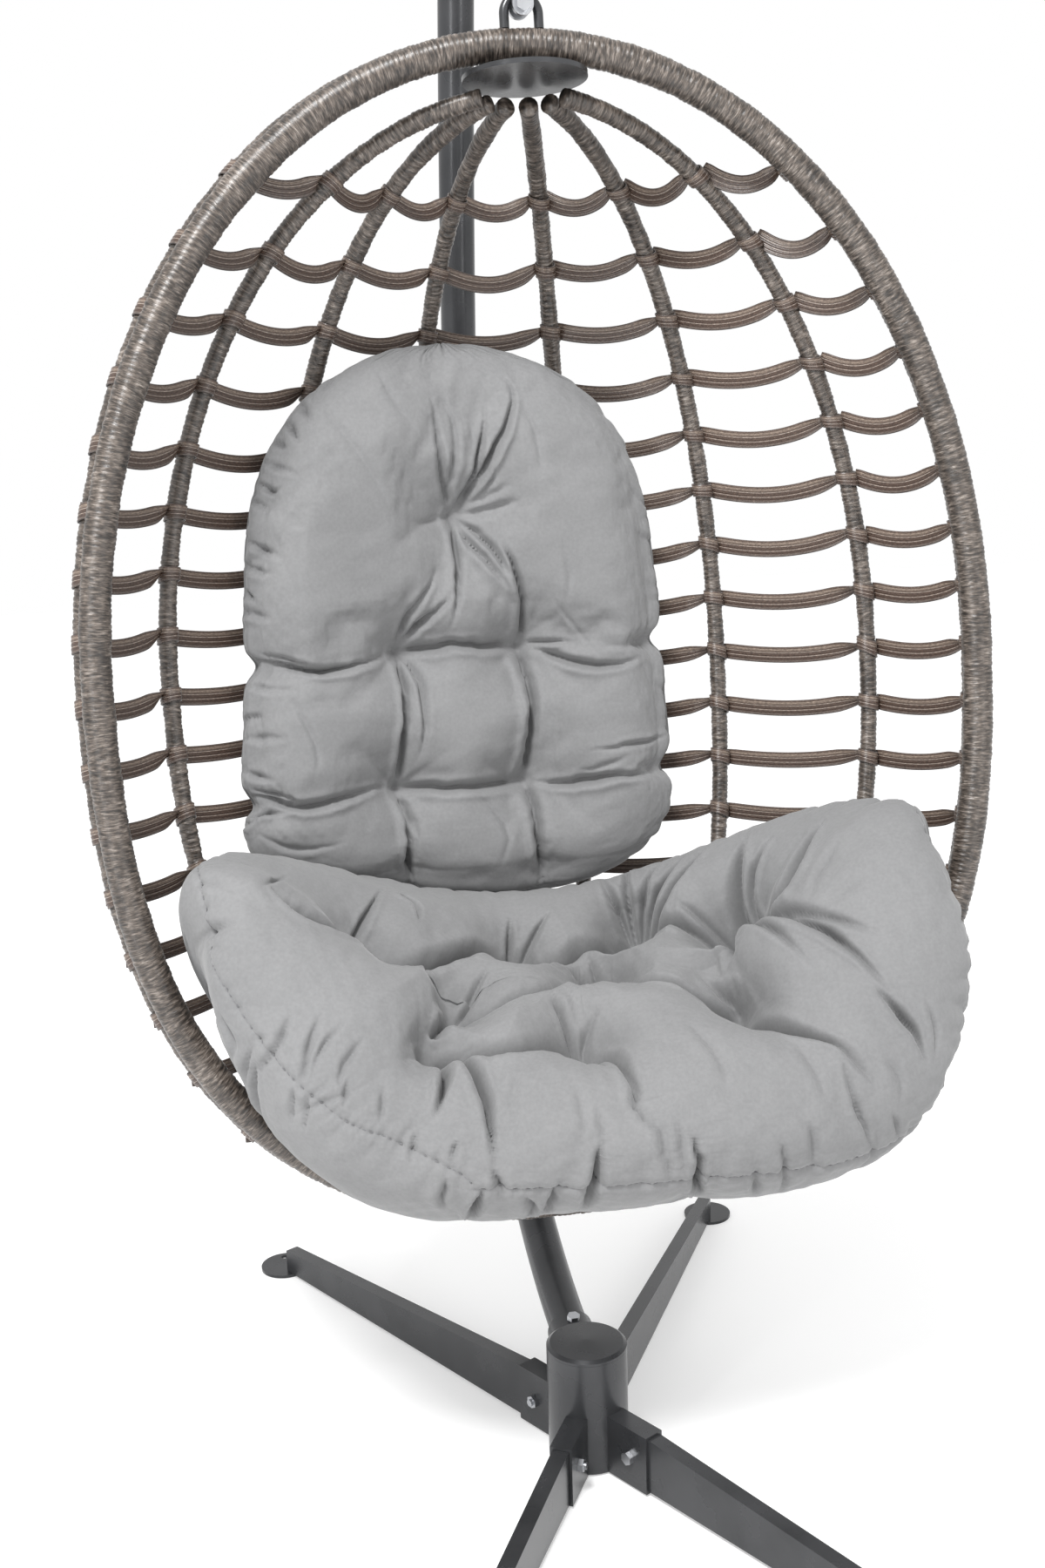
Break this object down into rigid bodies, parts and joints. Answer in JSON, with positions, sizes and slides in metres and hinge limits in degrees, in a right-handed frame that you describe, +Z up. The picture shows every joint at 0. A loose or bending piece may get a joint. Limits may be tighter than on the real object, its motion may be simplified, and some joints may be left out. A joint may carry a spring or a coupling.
{
  "type": "hanging egg chair",
  "caption": "Hanging egg chair: oval strapped basket with wrapped rim and ribs, tufted cushion, spring and swivel hanger, C-shaped pole on a cross base with foot discs.",
  "frame": {"origin": "on the floor, under the middle of the outer box", "axes": "X to the right seen from the front, Y from the basket's open front to the pole behind it, Z up"},
  "size_m": [1.012, 1.2238, 1.95],
  "materials": {
    "frame_metal": "satin",
    "zinc": "satin",
    "wrapped_tube": "satin",
    "strap_weave": "satin",
    "cushion_cloth": "matte"
  },
  "bodies": {
    "stand": {"base_hub": "frame_metal", "hub_cap": "frame_metal", "leg_front_left": "frame_metal", "leg_front_right": "frame_metal", "leg_rear_left": "frame_metal", "leg_rear_right": "frame_metal", "foot_disc_front_left": "frame_metal", "foot_disc_front_right": "frame_metal", "foot_disc_rear_left": "frame_metal", "foot_disc_rear_right": "frame_metal", "leg_bolts": "zinc", "pole_lower": "frame_metal", "pole_middle": "frame_metal", "pole_upper": "frame_metal", "pole_bolts": "zinc", "pole_end_cap": "frame_metal", "hook_eye": "frame_metal"},
    "shackle": {"shackle": "frame_metal", "shackle_bolt": "zinc"},
    "swivel_head": {"swivel_head": "frame_metal", "swivel_bolt": "zinc", "swivel_bearing": "zinc"},
    "spindle": {"swivel_spindle": "zinc", "hanging_spring": "zinc"},
    "basket": {"basket_clevis": "zinc", "basket_bolt": "zinc", "basket_loop": "frame_metal", "rim_front": "wrapped_tube", "rim_rear": "wrapped_tube", "rib_left_outer": "wrapped_tube", "rib_left_middle": "wrapped_tube", "rib_left_inner": "wrapped_tube", "rib_right_inner": "wrapped_tube", "rib_right_middle": "wrapped_tube", "rib_right_outer": "wrapped_tube", "top_plate": "frame_metal", "bottom_plate": "frame_metal", "strap_01": "strap_weave", "strap_02": "strap_weave", "strap_03": "strap_weave", "strap_04": "strap_weave", "strap_05": "strap_weave", "strap_06": "strap_weave", "strap_07": "strap_weave", "strap_08": "strap_weave", "strap_09": "strap_weave", "strap_10": "strap_weave", "strap_11": "strap_weave", "strap_12": "strap_weave", "strap_13": "strap_weave", "strap_14": "strap_weave", "strap_15": "strap_weave", "strap_16": "strap_weave", "seat_cushion": "cushion_cloth", "back_cushion": "cushion_cloth"}
  },
  "joints": [
    {"name": "swing_fore_aft", "type": "hinge", "parent": "stand", "child": "shackle", "pos_m": [0, 0.09939, 1.86782], "axis": [1, 0, 0], "range_deg": [-15, 6]},
    {"name": "swing_side", "type": "hinge", "parent": "shackle", "child": "swivel_head", "pos_m": [0, 0.09939, 1.81582], "axis": [0, 1, 0], "range_deg": [-10, 10]},
    {"name": "swivel_turn", "type": "hinge", "parent": "swivel_head", "child": "spindle", "pos_m": [0, 0.09939, 1.75782], "axis": [0, 0, 1], "range_deg": [-30, 30]},
    {"name": "spring_bounce", "type": "slide", "parent": "spindle", "child": "basket", "axis": [0, 0, 1], "range_m": [-0.05, 0.008], "stiffness_N_per_m": 20000, "springref_m": 0.01706, "deforming": ["hanging_spring"]}
  ]
}
